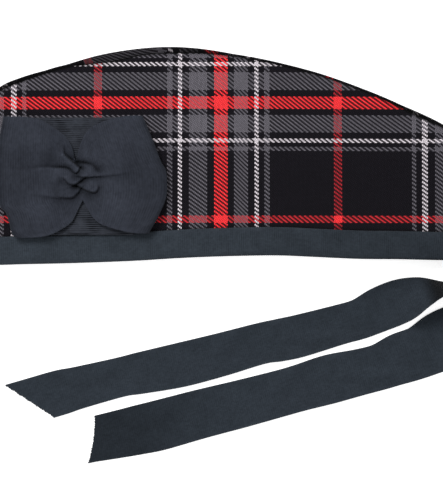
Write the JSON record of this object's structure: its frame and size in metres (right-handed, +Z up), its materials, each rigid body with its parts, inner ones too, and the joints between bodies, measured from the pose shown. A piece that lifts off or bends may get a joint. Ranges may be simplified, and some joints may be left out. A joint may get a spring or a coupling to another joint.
{
  "type": "tartan highland cap",
  "caption": "Folded tartan Highland cap lying on its side, with a ribbon band, a ribbon bow on its left side and two loose ribbon tails.",
  "frame": {"origin": "middle of the bottom of the whole object's box, on the surface that the cap lies on", "axes": "+X from the front of the cap to its back, +Y from the band to the crest, +Z up from the surface, out of the cap's left side"},
  "size_m": [0.321, 0.2478, 0.0404],
  "materials": {
    "tartan": "2/2 twill wool, black ground with red, grey and white checks",
    "band_ribbon": "fine ribbed petersham ribbon, very dark blue-grey",
    "tail_ribbon": "fine ribbed ribbon, very dark blue-grey, soft sheen",
    "bow_ribbon": "corded grosgrain ribbon, very dark blue-grey, soft sheen"
  },
  "bodies": {
    "root": {"side_left": "tartan", "side_right": "tartan", "crown_insert": "tartan", "band": "band_ribbon", "tail_left": "tail_ribbon", "tail_right": "tail_ribbon", "bow_patch": "bow_ribbon", "bow_back_upper": "bow_ribbon", "bow_back_lower": "bow_ribbon", "bow_front_upper": "bow_ribbon", "bow_front_lower": "bow_ribbon", "bow_knot": "bow_ribbon"}
  },
  "joints": []
}
